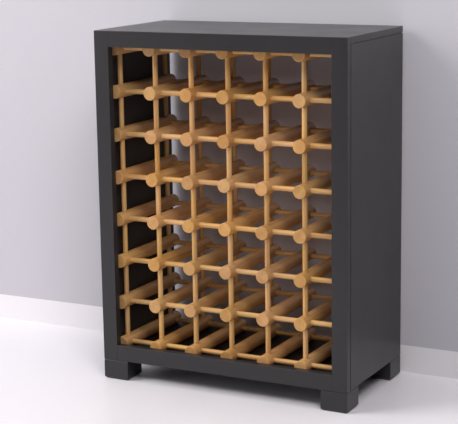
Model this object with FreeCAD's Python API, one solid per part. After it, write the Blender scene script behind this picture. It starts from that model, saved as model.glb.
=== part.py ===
import FreeCAD, Part
import os

from FreeCAD import Placement, Rotation, Vector

# A wine rack in a cabinet: forty-two bottle cells made of round wooden rods joined by short
# dowels, standing inside an open-backed painted carcass with a face frame and four block feet.
#
# Millimetres. +X is the viewer's right from the front, +Y goes from front to back, +Z is up.
# The origin is on the floor, under the middle of the carcass.

# Driving dimensions of the rod rack
COLUMNS = 7                     # upright lines of rods
ROWS = 8                        # level lines of rods
PITCH_X = 98.6                  # between rod axes, across
PITCH_Z = 105.6                 # between rod axes, up
ROD_DIAMETER = 33.0
ROD_LENGTH = 280.0
ROD_END_ROUND = 1.8
DOWEL_DIAMETER = 12.5
DOWEL_INSET = 31.0              # from each end of a rod to the dowel axes
DOWEL_CHAMFER = 1.0
DOWEL_HOLE_FLOOR = 8.0          # from a rod's axis to the floor of each dowel hole
DOWEL_SIDE_CLEARANCE = 0.1
DOWEL_END_CLEARANCE = 0.5

# Room around the rod rack inside the carcass
RACK_SIDE_CLEARANCE = 2.7
RACK_HEAD_CLEARANCE = 13.8
RACK_FRONT_CLEARANCE = 11.0
RACK_REAR_CLEARANCE = 30.0

# Driving dimensions of the carcass
PANEL_THICKNESS = 15.0          # sides and top
BASE_THICKNESS = 19.0           # the bottom panel, which carries the bottles
FRAME_THICKNESS = 19.0          # stiles and rails of the face frame
STILE_WIDTH = 39.0
RAIL_WIDTH = 39.0
STRETCHER_WIDTH = 45.0
STRETCHER_THICKNESS = 19.0
EDGE_ROUND = 1.0                # every long edge of a painted board
SEAM_WIDTH = 2.5                # rebate that shadows a side panel's joints
SEAM_DEPTH = 2.5

# Driving dimensions of the feet
FOOT_HEIGHT = 50.0
FOOT_SIZE = 68.0
FOOT_CHAMFER = 5.0              # all round the floor
FOOT_TOP_CHAMFER = 2.0          # all round the joint with the carcass
FOOT_ROUND = 1.2

# Glued pegs that join the boards
PEG_DIAMETER = 8.0
PEG_LENGTH = 30.0
PEG_SHALLOW_DEPTH = 10.0        # in the face of a board
PEG_CHAMFER = 0.8
PEG_SIDE_CLEARANCE = 0.1
PEG_END_CLEARANCE = 0.5
PEG_END_MARGIN = 60.0           # from a board's end to its first peg
RAIL_PEG_SPACING = 20.0
SIDE_PEGS = 4
RAIL_PEGS = 3

# Cam locks that hold the panels together
CAM_DIAMETER = 15.0
CAM_HEIGHT = 12.0
CAM_SETBACK = 24.0              # from the joint to the cam's axis
CAM_BOLT_DEPTH = 7.5            # from the face that holds the cam to the bolt's axis
CAM_CLEARANCE = 0.2
CAM_SLOT_WIDTH = 1.6
CAM_SLOT_LENGTH = 9.0
CAM_SLOT_DEPTH = 2.5
CAM_SPREAD = 120.0              # between the two cams of a joint
CAM_POCKET_OVERRUN = 1.0        # of the boring tool, past the board's face
BOLT_THREAD_DIAMETER = 5.0
BOLT_THREAD_LENGTH = 10.5
BOLT_SHANK_DIAMETER = 7.0
BOLT_NECK_DIAMETER = 4.0
BOLT_NECK_LENGTH = 4.0
BOLT_HEAD_LENGTH = 3.0

# Screws
SCREW_DIAMETER = 5.0
SCREW_HEAD_DIAMETER = 10.0
SCREW_HEAD_HEIGHT = 3.5
SCREW_HEAD_CLEARANCE = 0.5
SCREW_POINT = 1.6               # chamfer at the tip
SCREW_CLEARANCE = 0.25
SCREW_TIP_CLEARANCE = 0.5
RECESS_WIDTH = 1.4
RECESS_LENGTH = 5.0
RECESS_DEPTH = 2.0
FOOT_SCREW_GRIP = 25.0          # foot left above the screw's counterbore
FOOT_SCREW_BITE = 14.0          # thread in the bottom panel
FOOT_SCREW_OFFSET = 12.0        # each screw from the middle of the foot's fixing
RACK_SCREW_SINK = 5.0           # counterbore in the bottom panel
RACK_SCREW_BITE = 14.0          # thread in a rod
RACK_SCREW_SPREAD = 140.0       # between the front and rear screws of a rod
RACK_SCREW_COLUMNS = (1, COLUMNS - 2)

# Worked out from the driving dimensions
ROD_RADIUS = ROD_DIAMETER / 2
RACK_WIDTH = (COLUMNS - 1) * PITCH_X + ROD_DIAMETER
RACK_HEIGHT = (ROWS - 1) * PITCH_Z + ROD_DIAMETER
INNER_WIDTH = RACK_WIDTH + 2 * RACK_SIDE_CLEARANCE
BODY_WIDTH = INNER_WIDTH + 2 * PANEL_THICKNESS
BODY_DEPTH = FRAME_THICKNESS + RACK_FRONT_CLEARANCE + ROD_LENGTH + RACK_REAR_CLEARANCE
BASE_TOP = FOOT_HEIGHT + BASE_THICKNESS
TOP_UNDERSIDE = BASE_TOP + RACK_HEIGHT + RACK_HEAD_CLEARANCE
BODY_HEIGHT = TOP_UNDERSIDE + PANEL_THICKNESS

OUTER_X = BODY_WIDTH / 2
INNER_X = INNER_WIDTH / 2
FRONT_Y = -BODY_DEPTH / 2
REAR_Y = BODY_DEPTH / 2
CARCASS_Y = FRONT_Y + FRAME_THICKNESS
ROD_FRONT_Y = CARCASS_Y + RACK_FRONT_CLEARANCE
FRONT_DOWEL_Y = ROD_FRONT_Y + DOWEL_INSET
REAR_DOWEL_Y = ROD_FRONT_Y + ROD_LENGTH - DOWEL_INSET
FIRST_ROW_Z = BASE_TOP + ROD_RADIUS

X_AXIS = Vector(1, 0, 0)
Y_AXIS = Vector(0, 1, 0)
Z_AXIS = Vector(0, 0, 1)


# ---------------------------------------------------------------- basic shapes

def block(low, high):
    """A plain box between two opposite corners."""
    size = Vector(*high) - Vector(*low)
    return Part.makeBox(size.x, size.y, size.z, Vector(*low))


def board(low, high):
    """A painted board: a box with every edge eased."""
    solid = block(low, high)
    return solid.makeFillet(EDGE_ROUND, solid.Edges)


def bar(start, direction, length, diameter):
    """A plain cylinder that runs from start along direction."""
    return Part.makeCylinder(diameter / 2, length, start, direction)


def peg(start, direction, length, diameter, chamfer):
    """A round peg with both ends chamfered."""
    solid = bar(start, direction, length, diameter)
    rims = [edge for edge in solid.Edges if len(edge.Vertexes) == 1]
    return solid.makeChamfer(chamfer, rims)


def cross(centre, direction, across, length, width, depth):
    """A cross-shaped driver recess, sunk from centre along direction."""
    along = direction.cross(across)
    arms = []
    for first, second in ((across, along), (along, across)):
        corner = centre - first * (length / 2) - second * (width / 2)
        arm = Part.makeBox(length, width, depth)
        arm.Placement = Placement(corner, Rotation(first, second, first.cross(second), "ZXY"))
        if first.cross(second).dot(direction) < 0:
            arm.translate(direction * depth)
        arms.append(arm)
    return arms[0].fuse(arms[1])


def save(name, solids):
    """Writes one node; several separate solids go in as one group."""
    shape = solids[0] if len(solids) == 1 else Part.makeCompound(solids)
    shape.exportStep("parts/" + name + ".step")


# ---------------------------------------------------------------- rod rack

def column_x(column):
    return (column - (COLUMNS - 1) / 2) * PITCH_X


def row_z(row):
    return FIRST_ROW_Z + row * PITCH_Z


def dowel_hole(column, row, dowel_y, direction):
    """The hole that takes one dowel, from its floor out past the rod's surface."""
    start = Vector(column_x(column), dowel_y, row_z(row)) + direction * DOWEL_HOLE_FLOOR
    diameter = DOWEL_DIAMETER + 2 * DOWEL_SIDE_CLEARANCE
    return bar(start, direction, ROD_RADIUS, diameter)


def rod(column, row):
    """One front-to-back rod, bored for the dowels of its neighbours."""
    start = Vector(column_x(column), ROD_FRONT_Y, row_z(row))
    solid = bar(start, Y_AXIS, ROD_LENGTH, ROD_DIAMETER)
    rims = [edge for edge in solid.Edges if len(edge.Vertexes) == 1]
    solid = solid.makeFillet(ROD_END_ROUND, rims)
    directions = []
    if column > 0:
        directions.append(-X_AXIS)
    if column < COLUMNS - 1:
        directions.append(X_AXIS)
    if row > 0:
        directions.append(-Z_AXIS)
    if row < ROWS - 1:
        directions.append(Z_AXIS)
    holes = [dowel_hole(column, row, dowel_y, direction)
             for dowel_y in (FRONT_DOWEL_Y, REAR_DOWEL_Y)
             for direction in directions]
    if row == 0:
        holes += rack_screw_pilots(column)
    return solid.cut(holes)


def dowel(column, row, dowel_y, direction, pitch):
    """One short dowel from a rod to its neighbour along direction."""
    reach = DOWEL_HOLE_FLOOR + DOWEL_END_CLEARANCE
    start = Vector(column_x(column), dowel_y, row_z(row)) + direction * reach
    return peg(start, direction, pitch - 2 * reach, DOWEL_DIAMETER, DOWEL_CHAMFER)


def upright_dowels(column, dowel_y):
    return [dowel(column, row, dowel_y, Z_AXIS, PITCH_Z) for row in range(ROWS - 1)]


def level_dowels(row, dowel_y):
    return [dowel(column, row, dowel_y, X_AXIS, PITCH_X) for column in range(COLUMNS - 1)]


# ---------------------------------------------------------------- pegs between boards

def peg_joint(point, direction, depth):
    """A peg across a joint at point, and the hole for it. It goes depth deep along direction,
    and the rest of its length goes the other way."""
    start = point + direction * (depth - PEG_LENGTH)
    clear_start = start - direction * PEG_END_CLEARANCE
    clear_length = PEG_LENGTH + 2 * PEG_END_CLEARANCE
    hole = bar(clear_start, direction, clear_length, PEG_DIAMETER + 2 * PEG_SIDE_CLEARANCE)
    return peg(start, direction, PEG_LENGTH, PEG_DIAMETER, PEG_CHAMFER), hole


def spread(low, high, count):
    """Evenly spaced places, a margin in from both ends."""
    first = low + PEG_END_MARGIN
    step = (high - low - 2 * PEG_END_MARGIN) / (count - 1)
    return [first + step * index for index in range(count)]


def face_frame_pegs():
    """Pegs from the face frame back into the edges of the side, top and bottom panels."""
    places = []
    panel_x = OUTER_X - PANEL_THICKNESS / 2
    for z in spread(FOOT_HEIGHT, TOP_UNDERSIDE, SIDE_PEGS):
        places += [Vector(-panel_x, CARCASS_Y, z), Vector(panel_x, CARCASS_Y, z)]
    for x in spread(STILE_WIDTH - OUTER_X, OUTER_X - STILE_WIDTH, RAIL_PEGS):
        places.append(Vector(x, CARCASS_Y, FOOT_HEIGHT + BASE_THICKNESS / 2))
        places.append(Vector(x, CARCASS_Y, BODY_HEIGHT - PANEL_THICKNESS / 2))
    return [peg_joint(place, -Y_AXIS, PEG_SHALLOW_DEPTH) for place in places]


def rail_pegs():
    """Pegs from the ends of the two rails into the stiles."""
    joints = []
    for side in (-1, 1):
        for middle in (FOOT_HEIGHT + RAIL_WIDTH / 2, BODY_HEIGHT - RAIL_WIDTH / 2):
            for z in (middle - RAIL_PEG_SPACING / 2, middle + RAIL_PEG_SPACING / 2):
                place = Vector(side * (OUTER_X - STILE_WIDTH), FRONT_Y + FRAME_THICKNESS / 2, z)
                joints.append(peg_joint(place, X_AXIS * side, PEG_LENGTH / 2))
    return joints


def stretcher_pegs():
    """Pegs from the ends of the rear stretcher into the side panels."""
    joints = []
    middle = TOP_UNDERSIDE - STRETCHER_WIDTH / 2
    for side in (-1, 1):
        for z in (middle - RAIL_PEG_SPACING / 2, middle + RAIL_PEG_SPACING / 2):
            place = Vector(side * INNER_X, REAR_Y - STRETCHER_THICKNESS / 2, z)
            joints.append(peg_joint(place, X_AXIS * side, PEG_SHALLOW_DEPTH))
    return joints


# ---------------------------------------------------------------- cam locks

def cam():
    """A cam in its own frame: the joint is at z = 0, the bolt runs along z, and the open
    face of the cam looks along +x."""
    face = CAM_BOLT_DEPTH
    start = Vector(face, 0, CAM_SETBACK)
    solid = bar(start, -X_AXIS, CAM_HEIGHT, CAM_DIAMETER)
    mouth = bar(Vector(0, 0, 0), Z_AXIS, CAM_SETBACK + BOLT_HEAD_LENGTH,
                BOLT_SHANK_DIAMETER + 2 * CAM_CLEARANCE)
    slot = cross(start, -X_AXIS, Y_AXIS, CAM_SLOT_LENGTH, CAM_SLOT_WIDTH, CAM_SLOT_DEPTH)
    return solid.cut([mouth, slot])


def cam_bolt():
    """A cam bolt in the same frame: thread, shank, neck and head on one axis."""
    neck_start = CAM_SETBACK - BOLT_NECK_LENGTH
    thread = bar(Vector(0, 0, -BOLT_THREAD_LENGTH), Z_AXIS, BOLT_THREAD_LENGTH,
                 BOLT_THREAD_DIAMETER)
    shank = bar(Vector(0, 0, 0), Z_AXIS, neck_start, BOLT_SHANK_DIAMETER)
    neck = bar(Vector(0, 0, neck_start), Z_AXIS, BOLT_NECK_LENGTH, BOLT_NECK_DIAMETER)
    head = bar(Vector(0, 0, CAM_SETBACK), Z_AXIS, BOLT_HEAD_LENGTH - CAM_CLEARANCE,
               BOLT_SHANK_DIAMETER)
    return thread.fuse([shank, neck, head])


def cam_pocket():
    """What is bored out of the board that holds the cam, in the same frame."""
    start = Vector(CAM_BOLT_DEPTH + CAM_POCKET_OVERRUN, 0, CAM_SETBACK)
    depth = CAM_POCKET_OVERRUN + CAM_HEIGHT + CAM_CLEARANCE
    pocket = bar(start, -X_AXIS, depth, CAM_DIAMETER + 2 * CAM_CLEARANCE)
    bore = bar(Vector(0, 0, 0), Z_AXIS, CAM_SETBACK, BOLT_SHANK_DIAMETER + 2 * CAM_CLEARANCE)
    return pocket.fuse(bore)


def cam_thread_hole():
    """What is bored out of the board that the bolt screws into, in the same frame."""
    return bar(Vector(0, 0, 0), -Z_AXIS, BOLT_THREAD_LENGTH + CAM_CLEARANCE,
               BOLT_THREAD_DIAMETER)


def placed(shape, origin, face, along):
    """Moves a shape out of the cam frame: its z goes along, its x goes to face."""
    moved = shape.copy()
    moved.Placement = Placement(origin, Rotation(face, along.cross(face), along, "ZXY"))
    return moved


def cam_places(side):
    """The cam joints of one side panel: two at the top, then two at the bottom."""
    top, bottom = [], []
    for y in (-CAM_SPREAD / 2, CAM_SPREAD / 2):
        corner = Vector(side * (OUTER_X - PANEL_THICKNESS + CAM_BOLT_DEPTH), y, TOP_UNDERSIDE)
        top.append((corner, X_AXIS * -side, -Z_AXIS))
        corner = Vector(side * INNER_X, y, FOOT_HEIGHT + CAM_BOLT_DEPTH)
        bottom.append((corner, -Z_AXIS, X_AXIS * -side))
    return top, bottom


# ---------------------------------------------------------------- screws

def screw(head_base, length):
    """A pan-head screw that points up, with the underside of its head at head_base."""
    head = bar(head_base, -Z_AXIS, SCREW_HEAD_HEIGHT, SCREW_HEAD_DIAMETER)
    shank = bar(head_base, Z_AXIS, length, SCREW_DIAMETER)
    tip = [edge for edge in shank.Edges
           if len(edge.Vertexes) == 1 and edge.CenterOfMass.z > head_base.z + length / 2]
    shank = shank.makeChamfer(SCREW_POINT, tip)
    top = head_base - Z_AXIS * SCREW_HEAD_HEIGHT
    recess = cross(top, Z_AXIS, X_AXIS, RECESS_LENGTH, RECESS_WIDTH, RECESS_DEPTH)
    return head.fuse(shank).cut(recess)


def foot_screw_places(side, end):
    """The floor points under the two screws of one foot. They stand where the foot covers
    the bottom panel, between the side panel and the face frame or the rear edge."""
    outer_y, panel_y = (FRONT_Y, CARCASS_Y) if end < 0 else (REAR_Y, REAR_Y)
    x = side * (INNER_X + OUTER_X - FOOT_SIZE) / 2
    y = (panel_y + outer_y - end * FOOT_SIZE) / 2
    shift = Vector(side * FOOT_SCREW_OFFSET, end * FOOT_SCREW_OFFSET, 0)
    return [Vector(x, y, 0) - shift, Vector(x, y, 0) + shift]


def foot_screw_head(place):
    return place + Z_AXIS * (FOOT_HEIGHT - FOOT_SCREW_GRIP)


def foot_screws():
    length = FOOT_SCREW_GRIP + FOOT_SCREW_BITE
    return [screw(foot_screw_head(place), length)
            for side in (-1, 1) for end in (-1, 1) for place in foot_screw_places(side, end)]


def rack_screw_places(column):
    """Points on the underside of the bottom panel, under one bottom rod."""
    if column not in RACK_SCREW_COLUMNS:
        return []
    return [Vector(column_x(column), y, FOOT_HEIGHT)
            for y in (-RACK_SCREW_SPREAD / 2, RACK_SCREW_SPREAD / 2)]


def rack_screw_pilots(column):
    """Pilot holes in a bottom rod for its screws."""
    return [bar(place + Z_AXIS * BASE_THICKNESS - Z_AXIS * ROD_RADIUS, Z_AXIS,
                ROD_RADIUS + RACK_SCREW_BITE + SCREW_TIP_CLEARANCE, SCREW_DIAMETER)
            for place in rack_screw_places(column)]


def rack_screws():
    length = BASE_THICKNESS - RACK_SCREW_SINK + RACK_SCREW_BITE
    return [screw(place + Z_AXIS * RACK_SCREW_SINK, length)
            for column in RACK_SCREW_COLUMNS for place in rack_screw_places(column)]


# ---------------------------------------------------------------- carcass

def foot(side, end):
    """A block foot, chamfered round both ends, with two counterbored screw holes."""
    low_x = min(side * OUTER_X, side * (OUTER_X - FOOT_SIZE))
    outer_y = FRONT_Y if end < 0 else REAR_Y
    low_y = min(outer_y, outer_y - end * FOOT_SIZE)
    solid = block((low_x, low_y, 0), (low_x + FOOT_SIZE, low_y + FOOT_SIZE, FOOT_HEIGHT))
    floor_edges = [edge for edge in solid.Edges if edge.BoundBox.ZMax < FOOT_CHAMFER]
    solid = solid.makeChamfer(FOOT_CHAMFER, floor_edges)
    top_edges = [edge for edge in solid.Edges if edge.BoundBox.ZMin > FOOT_HEIGHT - FOOT_CHAMFER]
    solid = solid.makeChamfer(FOOT_TOP_CHAMFER, top_edges)
    solid = solid.makeFillet(FOOT_ROUND, solid.Edges)
    cuts = []
    for place in foot_screw_places(side, end):
        bore = FOOT_HEIGHT - FOOT_SCREW_GRIP
        cuts.append(bar(place, Z_AXIS, bore, SCREW_HEAD_DIAMETER + 2 * SCREW_HEAD_CLEARANCE))
        cuts.append(bar(place, Z_AXIS, FOOT_HEIGHT, SCREW_DIAMETER + 2 * SCREW_CLEARANCE))
    return solid.cut(cuts)


def seams(side):
    """The rebates in a side panel's outer face, along the face frame and the top panel."""
    floor_x = side * (OUTER_X - SEAM_DEPTH)
    low_x = min(floor_x, side * OUTER_X)
    high_x = max(floor_x, side * OUTER_X)
    front = block((low_x, CARCASS_Y, FOOT_HEIGHT), (high_x, CARCASS_Y + SEAM_WIDTH, TOP_UNDERSIDE))
    top = block((low_x, CARCASS_Y, TOP_UNDERSIDE - SEAM_WIDTH), (high_x, REAR_Y, TOP_UNDERSIDE))
    return [front, top]


def side_panel(side, peg_holes):
    low_x = min(side * INNER_X, side * OUTER_X)
    solid = board((low_x, CARCASS_Y, FOOT_HEIGHT),
                  (low_x + PANEL_THICKNESS, REAR_Y, TOP_UNDERSIDE))
    top, bottom = cam_places(side)
    cuts = [placed(cam_pocket(), *place) for place in top]
    cuts += [placed(cam_thread_hole(), *place) for place in bottom]
    return solid.cut(cuts + peg_holes + seams(side))


def top_panel(peg_holes):
    solid = board((-OUTER_X, CARCASS_Y, TOP_UNDERSIDE), (OUTER_X, REAR_Y, BODY_HEIGHT))
    cuts = [placed(cam_thread_hole(), *place)
            for side in (-1, 1) for place in cam_places(side)[0]]
    return solid.cut(cuts + peg_holes)


def bottom_panel(peg_holes):
    solid = board((-INNER_X, CARCASS_Y, FOOT_HEIGHT), (INNER_X, REAR_Y, BASE_TOP))
    cuts = [placed(cam_pocket(), *place)
            for side in (-1, 1) for place in cam_places(side)[1]]
    for column in RACK_SCREW_COLUMNS:
        for place in rack_screw_places(column):
            cuts.append(bar(place, Z_AXIS, RACK_SCREW_SINK,
                            SCREW_HEAD_DIAMETER + 2 * SCREW_HEAD_CLEARANCE))
            cuts.append(bar(place, Z_AXIS, BASE_THICKNESS,
                            SCREW_DIAMETER + 2 * SCREW_CLEARANCE))
    for side in (-1, 1):
        for end in (-1, 1):
            for place in foot_screw_places(side, end):
                cuts.append(bar(place + Z_AXIS * FOOT_HEIGHT, Z_AXIS,
                                FOOT_SCREW_BITE + SCREW_TIP_CLEARANCE, SCREW_DIAMETER))
    return solid.cut(cuts + peg_holes)


def stile(side, peg_holes):
    low_x = min(side * OUTER_X, side * (OUTER_X - STILE_WIDTH))
    solid = board((low_x, FRONT_Y, FOOT_HEIGHT), (low_x + STILE_WIDTH, CARCASS_Y, BODY_HEIGHT))
    return solid.cut(peg_holes)


def rail(low_z, peg_holes):
    end_x = OUTER_X - STILE_WIDTH
    solid = board((-end_x, FRONT_Y, low_z), (end_x, CARCASS_Y, low_z + RAIL_WIDTH))
    return solid.cut(peg_holes)


def rear_stretcher(peg_holes):
    solid = board((-INNER_X, REAR_Y - STRETCHER_THICKNESS, TOP_UNDERSIDE - STRETCHER_WIDTH),
                  (INNER_X, REAR_Y, TOP_UNDERSIDE))
    return solid.cut(peg_holes)


# ---------------------------------------------------------------- the whole object

def build_rack():
    for row in range(ROWS):
        name = "row_" + str(row + 1)
        save("rods_" + name, [rod(column, row) for column in range(COLUMNS)])
        save("front_crossbars_" + name, level_dowels(row, FRONT_DOWEL_Y))
        save("rear_crossbars_" + name, level_dowels(row, REAR_DOWEL_Y))
    for column in range(COLUMNS):
        name = "column_" + str(column + 1)
        save("front_uprights_" + name, upright_dowels(column, FRONT_DOWEL_Y))
        save("rear_uprights_" + name, upright_dowels(column, REAR_DOWEL_Y))


def build_carcass():
    joints = face_frame_pegs() + rail_pegs()
    stretcher_joints = stretcher_pegs()
    frame_holes = [hole for _, hole in joints]
    panel_holes = [hole for _, hole in joints + stretcher_joints]

    save("left_side_panel", [side_panel(-1, panel_holes)])
    save("right_side_panel", [side_panel(1, panel_holes)])
    save("top_panel", [top_panel(frame_holes)])
    save("bottom_panel", [bottom_panel(frame_holes)])
    save("left_stile", [stile(-1, frame_holes)])
    save("right_stile", [stile(1, frame_holes)])
    save("top_rail", [rail(BODY_HEIGHT - RAIL_WIDTH, frame_holes)])
    save("bottom_rail", [rail(FOOT_HEIGHT, frame_holes)])
    save("rear_stretcher", [rear_stretcher(panel_holes)])
    save("joint_pegs", [solid for solid, _ in joints + stretcher_joints])


def build_feet():
    save("front_left_foot", [foot(-1, -1)])
    save("front_right_foot", [foot(1, -1)])
    save("rear_left_foot", [foot(-1, 1)])
    save("rear_right_foot", [foot(1, 1)])


def build_fasteners():
    places = [place for side in (-1, 1) for group in cam_places(side) for place in group]
    save("cam_locks", [placed(cam(), *place) for place in places])
    save("cam_bolts", [placed(cam_bolt(), *place) for place in places])
    save("foot_screws", foot_screws())
    save("rack_screws", rack_screws())


os.makedirs("parts", exist_ok=True)
build_rack()
build_carcass()
build_feet()
build_fasteners()
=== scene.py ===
"""Looks for the wine rack.

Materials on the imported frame, a pale floor and wall, soft lights and the camera."""

import math

import bpy
from mathutils import Matrix, Vector


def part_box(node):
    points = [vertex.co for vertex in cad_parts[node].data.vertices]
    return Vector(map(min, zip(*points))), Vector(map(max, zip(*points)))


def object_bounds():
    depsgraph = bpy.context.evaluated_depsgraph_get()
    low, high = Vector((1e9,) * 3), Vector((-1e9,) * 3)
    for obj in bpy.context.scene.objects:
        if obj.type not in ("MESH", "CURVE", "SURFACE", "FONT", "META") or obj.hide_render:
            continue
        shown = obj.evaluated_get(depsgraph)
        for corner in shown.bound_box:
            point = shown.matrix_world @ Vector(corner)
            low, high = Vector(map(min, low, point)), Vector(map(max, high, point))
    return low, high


def srgb(red, green, blue):
    """A linear colour from 0-255 display values."""
    def linear(value):
        value /= 255.0
        return value / 12.92 if value <= 0.04045 else ((value + 0.055) / 1.055) ** 2.4
    return (linear(red), linear(green), linear(blue), 1.0)


X_AXIS, Y_AXIS, Z_AXIS = 0, 1, 2

# The lattice of rods and dowels
COLUMNS = 7
ROWS = 8
ROD_CELL_DEPTH = 4.0            # deeper than the rack, so that a rod is in one cell
DOWEL_CELL_DEPTH = 0.5          # from the middle, so that front and rear dowels differ
LEVEL_BOARDS = ("top_panel", "bottom_panel", "top_rail", "bottom_rail", "rear_stretcher")

# Wood: light and dark tones, then the pattern
ROD_TONES = (srgb(216, 171, 114), srgb(172, 123, 70))
DOWEL_TONES = (srgb(221, 179, 121), srgb(180, 131, 76))
FLECK_TONE = srgb(128, 82, 42)
RAY_TONE = srgb(238, 204, 150)
END_GRAIN_TONE = srgb(176, 120, 66)
PITH_SPREAD = 0.11              # how far apart two pieces' piths may lie
PATTERN_SHIFT = 7.3             # between one piece's pattern and the next one's
RING_WIDTH = 0.0028
RING_SHARPNESS = 2.2
RING_WANDER = 0.012
WANDER_SCALE, WANDER_STRETCH = 9.0, 0.35
FIGURE_SCALE, FIBRE_SCALE, GRAIN_STRETCH = 42.0, 620.0, 0.07
FLECK_SCALE, FLECK_STRETCH = 950.0, 0.22
RAYS_PER_RADIAN = 95.0
FIGURE_SHARE, FIBRE_SHARE = 0.45, 0.22
RING_SHARE, END_RING_SHARE = 0.30, 0.25
FLECK_STRENGTH, RAY_STRENGTH, END_STRENGTH = 0.30, 0.25, 0.10
WOOD_RELIEF = 0.00012

# Paint
PAINT_TONES = (srgb(42, 41, 42), srgb(45, 43, 45))
SPECK_TONE = srgb(56, 54, 56)
BRUSH_TONE = srgb(31, 30, 32)
# lighter tone on the arrises: paint worn through, and a painted highlight where light would catch
# the rounded edges
WORN_AND_HIGHLIGHT_TONE = srgb(80, 77, 79)
CLOUD_SCALE, SMUDGE_SCALE, BREAK_SCALE = 3.2, 7.5, 55.0
SPECK_SCALE, PEEL_SCALE = 900.0, 430.0
BRUSH_SCALE, BRUSH_STRETCH = 330.0, 0.03
ARRIS_WIDTH = 0.0016
PAINT_RELIEF = 0.00009

# Stage
FLOOR_TONES = (srgb(225, 221, 227), srgb(232, 228, 233))
WALL_TONES = (srgb(190, 187, 194), srgb(196, 193, 200))
SKIRTING_TONE = srgb(232, 229, 233)
SKIRTING_HEIGHT = 0.07
FLOOR_HALF = 25.0
WALL_GAP = 0.018
WALL_HALF_WIDTH = 3.2
WALL_HEIGHT = 3.4

# Lights
DAYLIGHT = (1.0, 0.99, 0.98)
WHITE = (1.0, 1.0, 1.0)
LIGHT_AIM = (0.0, -0.05, 0.40)
WORLD_COLOUR = (0.82, 0.81, 0.83, 1.0)
WORLD_STRENGTH = 0.06

# Camera
CAMERA_AIM = Vector((-0.0595, 0.0, 0.415))
CAMERA_DISTANCE = 3.715
CAMERA_YAW = math.radians(27.595)
CAMERA_PITCH = math.radians(11.497)
CAMERA_ROLL = math.radians(-0.882)
CAMERA_LENS = 117.9
CAMERA_SENSOR = 36.0
CAMERA_REACH = 100.0


# ---------------------------------------------------------------- node helpers


class Graph:
    """A material's nodes, added one at a time; most calls return an output socket."""

    def __init__(self, name):
        self.material = bpy.data.materials.new(name)
        self.material.use_nodes = True
        self.tree = self.material.node_tree
        self.tree.nodes.clear()

    def add(self, kind, inputs=None, output=0, **settings):
        node = self.tree.nodes.new(kind)
        for key, value in settings.items():
            setattr(node, key, value)
        for key, value in (inputs or {}).items():
            socket = node.inputs[key]
            if isinstance(value, bpy.types.NodeSocket):
                self.tree.links.new(value, socket)
            else:
                socket.default_value = value
        return node.outputs[output]

    def math(self, operation, first, second=0.0, clamp=False):
        inputs = {0: first, 1: second}
        return self.add("ShaderNodeMath", inputs, operation=operation, use_clamp=clamp)

    def vector(self, operation, first, second=(0.0, 0.0, 0.0), output=0):
        return self.add("ShaderNodeVectorMath", {0: first, 1: second}, output, operation=operation)

    def scaled(self, vector, factor):
        return self.add("ShaderNodeVectorMath", {0: vector, "Scale": factor}, operation="SCALE")

    def remap(self, value, low, high, to_low=0.0, to_high=1.0):
        inputs = {"Value": value, "From Min": low, "From Max": high,
                  "To Min": to_low, "To Max": to_high}
        return self.add("ShaderNodeMapRange", inputs, interpolation_type="SMOOTHSTEP")

    def mix(self, factor, first, second):
        return self.add("ShaderNodeMix", {0: factor, 6: first, 7: second}, 2, data_type="RGBA")

    def noise(self, vector, scale, detail=2.0, roughness=0.5, distortion=0.0):
        inputs = {"Vector": vector, "Scale": scale, "Detail": detail,
                  "Roughness": roughness, "Distortion": distortion}
        return self.add("ShaderNodeTexNoise", inputs)

    def bump(self, height, distance, strength):
        inputs = {"Height": height, "Distance": distance, "Strength": strength}
        return self.add("ShaderNodeBump", inputs)

    def place(self):
        """Where the point is on its object, which stands at the frame's origin."""
        return self.add("ShaderNodeTexCoord", output=3)

    def surface(self, shader):
        output = self.tree.nodes.new("ShaderNodeOutputMaterial")
        self.tree.links.new(shader, output.inputs["Surface"])
        return self.material

    def finish(self, **inputs):
        """Adds the shader and the output. Keywords have underscores for the names' spaces."""
        named = {key.replace("_", " "): value for key, value in inputs.items()}
        return self.surface(self.add("ShaderNodeBsdfPrincipled", named))


# ------------------------------------------------------------------- materials


def axis_scale(along, along_scale):
    """A vector that is 1 across the grain and along_scale down it."""
    scale = [1.0, 1.0, 1.0]
    scale[along] = along_scale
    return tuple(scale)


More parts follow.
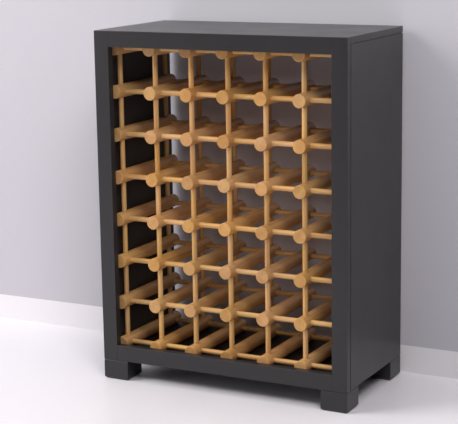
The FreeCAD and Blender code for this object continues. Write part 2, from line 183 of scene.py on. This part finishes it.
def wood(name, along, origin, pitch, light, dark):
    """Clear-finished hardwood for turned pieces laid out on a grid.

    Each cell of the grid is one piece of timber. along is the grain's axis, origin the
    first cell's lowest corner and pitch the cells' size, in metres."""
    g = Graph(name)
    place = g.place()
    in_cells = g.vector("DIVIDE", g.vector("SUBTRACT", place, tuple(origin)), tuple(pitch))
    cell = g.vector("FLOOR", in_cells)
    chance = g.add("ShaderNodeTexWhiteNoise", {"Vector": cell}, 1, noise_dimensions="3D")
    chances = g.add("ShaderNodeSeparateXYZ", {0: chance}).node.outputs

    middle = g.vector("MULTIPLY", g.vector("ADD", cell, (0.5, 0.5, 0.5)), tuple(pitch))
    centre = g.vector("ADD", middle, tuple(origin))
    from_axis = g.vector("SUBTRACT", place, centre)
    pith = g.scaled(g.vector("SUBTRACT", chance, (0.5, 0.5, 0.5)), PITH_SPREAD)
    from_pith = g.vector("MULTIPLY", g.vector("ADD", from_axis, pith), axis_scale(along, 0.0))

    shifted = g.vector("ADD", place, g.scaled(chance, PATTERN_SHIFT))
    drawn_out = g.vector("MULTIPLY", shifted, axis_scale(along, GRAIN_STRETCH))
    figure = g.noise(drawn_out, FIGURE_SCALE, 4.0, 0.55, 0.5)
    fibre = g.noise(drawn_out, FIBRE_SCALE, 2.0, 0.6)
    wander_place = g.vector("MULTIPLY", shifted, axis_scale(along, WANDER_STRETCH))
    wander = g.math("SUBTRACT", g.noise(wander_place, WANDER_SCALE, 2.0), 0.5)
    radius = g.math("ADD", g.vector("LENGTH", from_pith, output=1),
                    g.math("MULTIPLY", wander, RING_WANDER))
    wave = g.math("SINE", g.math("MULTIPLY", radius, 2.0 * math.pi / RING_WIDTH))
    ring = g.math("POWER", g.remap(wave, -1.0, 1.0), RING_SHARPNESS)
    fleck_place = g.vector("MULTIPLY", shifted, axis_scale(along, FLECK_STRETCH))
    fleck = g.remap(g.noise(fleck_place, FLECK_SCALE, 1.0), 0.62, 0.74)

    normal = g.add("ShaderNodeNewGeometry", output=1)
    facing = [0.0, 0.0, 0.0]
    facing[along] = 1.0
    turned = g.vector("DOT_PRODUCT", normal, tuple(facing), output=1)
    end = g.remap(g.math("ABSOLUTE", turned), 0.55, 0.9)

    parts = g.add("ShaderNodeSeparateXYZ", {0: from_pith}).node.outputs
    across = [parts[i] for i in range(3) if i != along]
    angle = g.math("ARCTAN2", across[0], across[1])
    inputs = {"W": g.math("MULTIPLY", angle, RAYS_PER_RADIAN), "Scale": 1.0, "Detail": 1.0}
    ray_noise = g.add("ShaderNodeTexNoise", inputs, noise_dimensions="1D")
    ray = g.math("MULTIPLY", g.remap(ray_noise, 0.6, 0.75), end)

    ring_strength = g.math("ADD", RING_SHARE, g.math("MULTIPLY", end, END_RING_SHARE))
    share = g.math("ADD", g.math("MULTIPLY", g.remap(figure, 0.3, 0.72), FIGURE_SHARE),
                   g.math("MULTIPLY", ring, ring_strength))
    share = g.math("ADD", share, g.math("MULTIPLY", fibre, FIBRE_SHARE), clamp=True)
    colour = g.mix(share, light, dark)
    colour = g.mix(g.math("MULTIPLY", fleck, FLECK_STRENGTH), colour, FLECK_TONE)
    colour = g.mix(g.math("MULTIPLY", ray, RAY_STRENGTH), colour, RAY_TONE)
    colour = g.mix(g.math("MULTIPLY", end, END_STRENGTH), colour, END_GRAIN_TONE)
    inputs = {"Hue": g.remap(chances[0], 0.0, 1.0, 0.4965, 0.5030),
              "Saturation": g.remap(chances[1], 0.0, 1.0, 0.96, 1.06),
              "Value": g.remap(chances[2], 0.0, 1.0, 0.89, 1.06), "Color": colour}
    colour = g.add("ShaderNodeHueSaturation", inputs)

    rough = g.math("ADD", g.remap(figure, 0.2, 0.8, 0.36, 0.50), g.math("MULTIPLY", end, 0.14))
    height = g.math("ADD", g.math("MULTIPLY", fibre, 0.55), g.math("MULTIPLY", ring, 0.35))
    height = g.math("SUBTRACT", height, g.math("MULTIPLY", fleck, 0.6))
    return g.finish(Base_Color=colour, Roughness=rough, Normal=g.bump(height, WOOD_RELIEF, 0.8),
                    Specular_IOR_Level=0.30, Coat_Weight=0.04, Coat_Roughness=0.28)


def paint(name, along):
    """Satin charcoal paint on board: brushed-out grain, slight mottling, and arrises lightened
    partly as wear and partly as a painted highlight.
    """
    g = Graph(name)
    place = g.place()
    cloud = g.noise(place, CLOUD_SCALE, 3.0, 0.55)
    speck = g.noise(place, SPECK_SCALE, 1.0)
    drawn_out = g.vector("MULTIPLY", place, axis_scale(along, BRUSH_STRETCH))
    brushing = g.noise(drawn_out, BRUSH_SCALE, 3.0, 0.6, 0.3)
    peel = g.noise(place, PEEL_SCALE, 1.0)
    colour = g.mix(g.remap(cloud, 0.3, 0.7), *PAINT_TONES)
    colour = g.mix(g.math("MULTIPLY", g.remap(speck, 0.35, 0.75), 0.12), colour, SPECK_TONE)
    colour = g.mix(g.math("MULTIPLY", g.remap(brushing, 0.55, 0.8), 0.20), colour, BRUSH_TONE)

    # Arrises are lightened: partly worn paint, partly a painted highlight along every edge; the
    # same mask lowers the roughness there
    true_normal = g.add("ShaderNodeNewGeometry", output=3)
    rounded = g.add("ShaderNodeBevel", {"Radius": ARRIS_WIDTH}, samples=6)
    turned = g.vector("DOT_PRODUCT", rounded, true_normal, output=1)
    arris = g.remap(turned, 0.995, 0.93)
    broken = g.remap(g.noise(place, BREAK_SCALE, 3.0, 0.65), 0.38, 0.66)
    wear_and_highlight = g.math("MULTIPLY", arris, g.math("ADD", 0.14, g.math("MULTIPLY", broken, 0.4)))
    colour = g.mix(wear_and_highlight, colour, WORN_AND_HIGHLIGHT_TONE)

    smudge = g.remap(g.noise(place, SMUDGE_SCALE, 4.0, 0.6, 0.6), 0.3, 0.75, 0.29, 0.34)
    rough = g.math("ADD", smudge, g.math("MULTIPLY", speck, 0.05))
    rough = g.math("SUBTRACT", rough, g.math("MULTIPLY", wear_and_highlight, 0.08))
    height = g.math("ADD", g.math("MULTIPLY", peel, 0.6), g.math("MULTIPLY", brushing, 0.7))
    return g.finish(Base_Color=colour, Roughness=rough, Normal=g.bump(height, PAINT_RELIEF, 0.7),
                    Specular_IOR_Level=0.36)


def raw_wood(name):
    """Unfinished beech for the hidden pegs."""
    g = Graph(name)
    place = g.place()
    figure = g.noise(g.vector("MULTIPLY", place, (1.0, 0.2, 1.0)), 260.0, 3.0, 0.6)
    fleck = g.remap(g.noise(place, 1500.0, 1.0), 0.6, 0.75)
    colour = g.mix(figure, srgb(206, 168, 118), srgb(170, 126, 80))
    colour = g.mix(g.math("MULTIPLY", fleck, 0.35), colour, srgb(120, 80, 46))
    return g.finish(Base_Color=colour, Roughness=g.remap(figure, 0.2, 0.8, 0.62, 0.8),
                    Normal=g.bump(figure, 0.00015, 0.8))


def metal(name, tone, tint, rough_low, rough_high, scale):
    """Plated or cast metal: a mottled finish with fine scratches."""
    g = Graph(name)
    place = g.place()
    cloud = g.noise(place, scale, 3.0, 0.6)
    scratch = g.noise(g.vector("MULTIPLY", place, (1.0, 1.0, 0.08)), 2200.0, 2.0, 0.6)
    colour = g.mix(g.remap(cloud, 0.3, 0.7), tone, tint)
    rough = g.math("ADD", g.remap(cloud, 0.3, 0.7, rough_low, rough_high),
                   g.math("MULTIPLY", scratch, 0.08))
    relief = g.bump(g.math("ADD", scratch, cloud), 0.00004, 0.6)
    return g.finish(Base_Color=colour, Metallic=1.0, Roughness=rough, Normal=relief)


def floor_material():
    g = Graph("floor_pale")
    place = g.place()
    colour = g.mix(g.noise(place, 1.4, 3.0, 0.5), *FLOOR_TONES)
    rough = g.remap(g.noise(place, 5.0, 3.0), 0.3, 0.7, 0.34, 0.42)
    return g.finish(Base_Color=colour, Roughness=rough)


def wall_material():
    """Matt, and there from the front only, so that it can stand close behind the open back."""
    g = Graph("wall_pale")
    place = g.place()
    colour = g.mix(g.noise(place, 1.1, 2.0), *WALL_TONES)
    height = g.add("ShaderNodeSeparateXYZ", {0: place}, 2)
    colour = g.mix(g.math("LESS_THAN", height, SKIRTING_HEIGHT), colour, SKIRTING_TONE)
    matt = g.add("ShaderNodeBsdfDiffuse", {"Color": colour})
    clear = g.add("ShaderNodeBsdfTransparent")
    behind = g.add("ShaderNodeNewGeometry", output=6)
    return g.surface(g.add("ShaderNodeMixShader", {0: behind, 1: matt, 2: clear}))


# --------------------------------------------------------------- frame and looks

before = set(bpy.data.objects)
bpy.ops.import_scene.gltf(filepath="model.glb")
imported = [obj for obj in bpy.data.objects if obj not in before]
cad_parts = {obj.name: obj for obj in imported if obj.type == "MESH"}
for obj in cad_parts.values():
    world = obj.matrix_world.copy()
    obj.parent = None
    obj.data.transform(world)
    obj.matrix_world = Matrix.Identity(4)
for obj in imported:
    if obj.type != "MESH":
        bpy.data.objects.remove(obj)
cad_low, cad_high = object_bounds()

row_low, row_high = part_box("rods_row_1")
top_row_low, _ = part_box(f"rods_row_{ROWS}")
rod_diameter = row_high.z - row_low.z
pitch_x = (row_high.x - row_low.x - rod_diameter) / (COLUMNS - 1)
pitch_z = (top_row_low.z - row_low.z) / (ROWS - 1)
first_x = row_low.x + rod_diameter / 2
first_z = row_low.z + rod_diameter / 2
left_x = first_x - pitch_x / 2
lowest_z = first_z - pitch_z / 2

# Each grid's lowest corner and cell size: a rod or a dowel lies in the middle of its cell.
rod_cells = ((left_x, -ROD_CELL_DEPTH / 2, lowest_z), (pitch_x, ROD_CELL_DEPTH, pitch_z))
upright_cells = ((left_x, -DOWEL_CELL_DEPTH, first_z), (pitch_x, DOWEL_CELL_DEPTH, pitch_z))
level_cells = ((first_x, -DOWEL_CELL_DEPTH, lowest_z), (pitch_x, DOWEL_CELL_DEPTH, pitch_z))

materials = {
    "rods": wood("rod_wood_turned", Y_AXIS, *rod_cells, *ROD_TONES),
    "uprights": wood("dowel_wood_upright", Z_AXIS, *upright_cells, *DOWEL_TONES),
    "crossbars": wood("dowel_wood_level", X_AXIS, *level_cells, *DOWEL_TONES),
    "paint_upright": paint("charcoal_paint_upright", Z_AXIS),
    "paint_level": paint("charcoal_paint_level", X_AXIS),
    "pegs": raw_wood("peg_wood_raw"),
    "zinc": metal("zinc_steel_plated", srgb(186, 188, 190), srgb(168, 168, 160), 0.24, 0.40, 120.0),
    "cast": metal("cam_metal_cast", srgb(150, 152, 156), srgb(128, 130, 135), 0.38, 0.55, 600.0),
}


def finish_for(node):
    """The looks that a CAD node gets, by its name."""
    if node.startswith("rods_row"):
        return "rods"
    if "_uprights_" in node:
        return "uprights"
    if "_crossbars_" in node:
        return "crossbars"
    if node == "joint_pegs":
        return "pegs"
    if node in ("cam_bolts", "foot_screws", "rack_screws"):
        return "zinc"
    if node == "cam_locks":
        return "cast"
    return "paint_level" if node in LEVEL_BOARDS else "paint_upright"


for node_name, node_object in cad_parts.items():
    for material_slot in node_object.material_slots:
        material_slot.link = "OBJECT"
        material_slot.material = materials[finish_for(node_name)]


# ------------------------------------------------------------------------ stage


def plane(name, corners, material):
    mesh = bpy.data.meshes.new(name)
    mesh.from_pydata(corners, [], [(0, 1, 2, 3)])
    mesh.materials.append(material)
    made = bpy.data.objects.new(name, mesh)
    bpy.context.scene.collection.objects.link(made)
    return made


wall_y = cad_high.y + WALL_GAP
plane("floor", [(-FLOOR_HALF, -FLOOR_HALF, 0), (FLOOR_HALF, -FLOOR_HALF, 0),
                (FLOOR_HALF, FLOOR_HALF, 0), (-FLOOR_HALF, FLOOR_HALF, 0)], floor_material())
wall = plane("wall", [(-WALL_HALF_WIDTH, wall_y, 0), (WALL_HALF_WIDTH, wall_y, 0),
                      (WALL_HALF_WIDTH, wall_y, WALL_HEIGHT),
                      (-WALL_HALF_WIDTH, wall_y, WALL_HEIGHT)], wall_material())


# ----------------------------------------------------------------------- lights

wall_passes = bpy.data.collections.new("wall_passes_light")
wall_passes.objects.link(wall)
wall_passes.collection_objects[0].light_linking.link_state = "EXCLUDE"


def softbox(name, place, aim, width, height, power, colour):
    """An area light. The wall doesn't block it, so the floor behind the wall is lit too."""
    data = bpy.data.lights.new(name, "AREA")
    data.shape = "RECTANGLE"
    data.size, data.size_y = width, height
    data.energy = power
    data.color = colour
    made = bpy.data.objects.new(name, data)
    made.location = place
    made.rotation_mode = "QUATERNION"
    made.rotation_quaternion = (Vector(aim) - Vector(place)).to_track_quat("-Z", "Y")
    made.light_linking.blocker_collection = wall_passes
    bpy.context.scene.collection.objects.link(made)


centre = (cad_low + cad_high) / 2
softbox("window_light", (-3.2, -2.0, 1.4), (0.0, -0.05, 0.45), 2.4, 2.2, 50.0, DAYLIGHT)
softbox("high_light", (-2.6, -2.2, 3.0), LIGHT_AIM, 1.8, 1.4, 73.0, DAYLIGHT)
softbox("right_light", (2.2, -2.8, 3.5), LIGHT_AIM, 1.4, 1.4, 96.0, DAYLIGHT)
softbox("top_light", (0.0, -0.6, 3.3), (0.1, 0.0, 0.4), 2.6, 1.4, 46.0, WHITE)
softbox("rear_light", (0.4, 4.2, 1.5), centre, 2.4, 1.8, 8.0, WHITE)

world = bpy.data.worlds.new("studio")
bpy.context.scene.world = world
world.use_nodes = True
background = world.node_tree.nodes["Background"]
background.inputs["Color"].default_value = WORLD_COLOUR
background.inputs["Strength"].default_value = WORLD_STRENGTH
bpy.context.scene.view_settings.view_transform = "Standard"


# ----------------------------------------------------------------------- camera

forward = Vector((-math.sin(CAMERA_YAW) * math.cos(CAMERA_PITCH),
                  math.cos(CAMERA_YAW) * math.cos(CAMERA_PITCH), -math.sin(CAMERA_PITCH)))
level_right = Vector((math.cos(CAMERA_YAW), math.sin(CAMERA_YAW), 0.0))
level_up = level_right.cross(forward)
right = level_right * math.cos(CAMERA_ROLL) + level_up * math.sin(CAMERA_ROLL)
up = right.cross(forward)
camera_data = bpy.data.cameras.new("camera")
camera_data.lens = CAMERA_LENS
camera_data.sensor_width = CAMERA_SENSOR
camera_data.clip_end = CAMERA_REACH
camera = bpy.data.objects.new("camera", camera_data)
turn = Matrix((right, up, -forward)).transposed().to_4x4()
camera.matrix_world = Matrix.Translation(CAMERA_AIM - forward * CAMERA_DISTANCE) @ turn
bpy.context.scene.collection.objects.link(camera)
bpy.context.scene.camera = camera


bpy.context.view_layer.update()
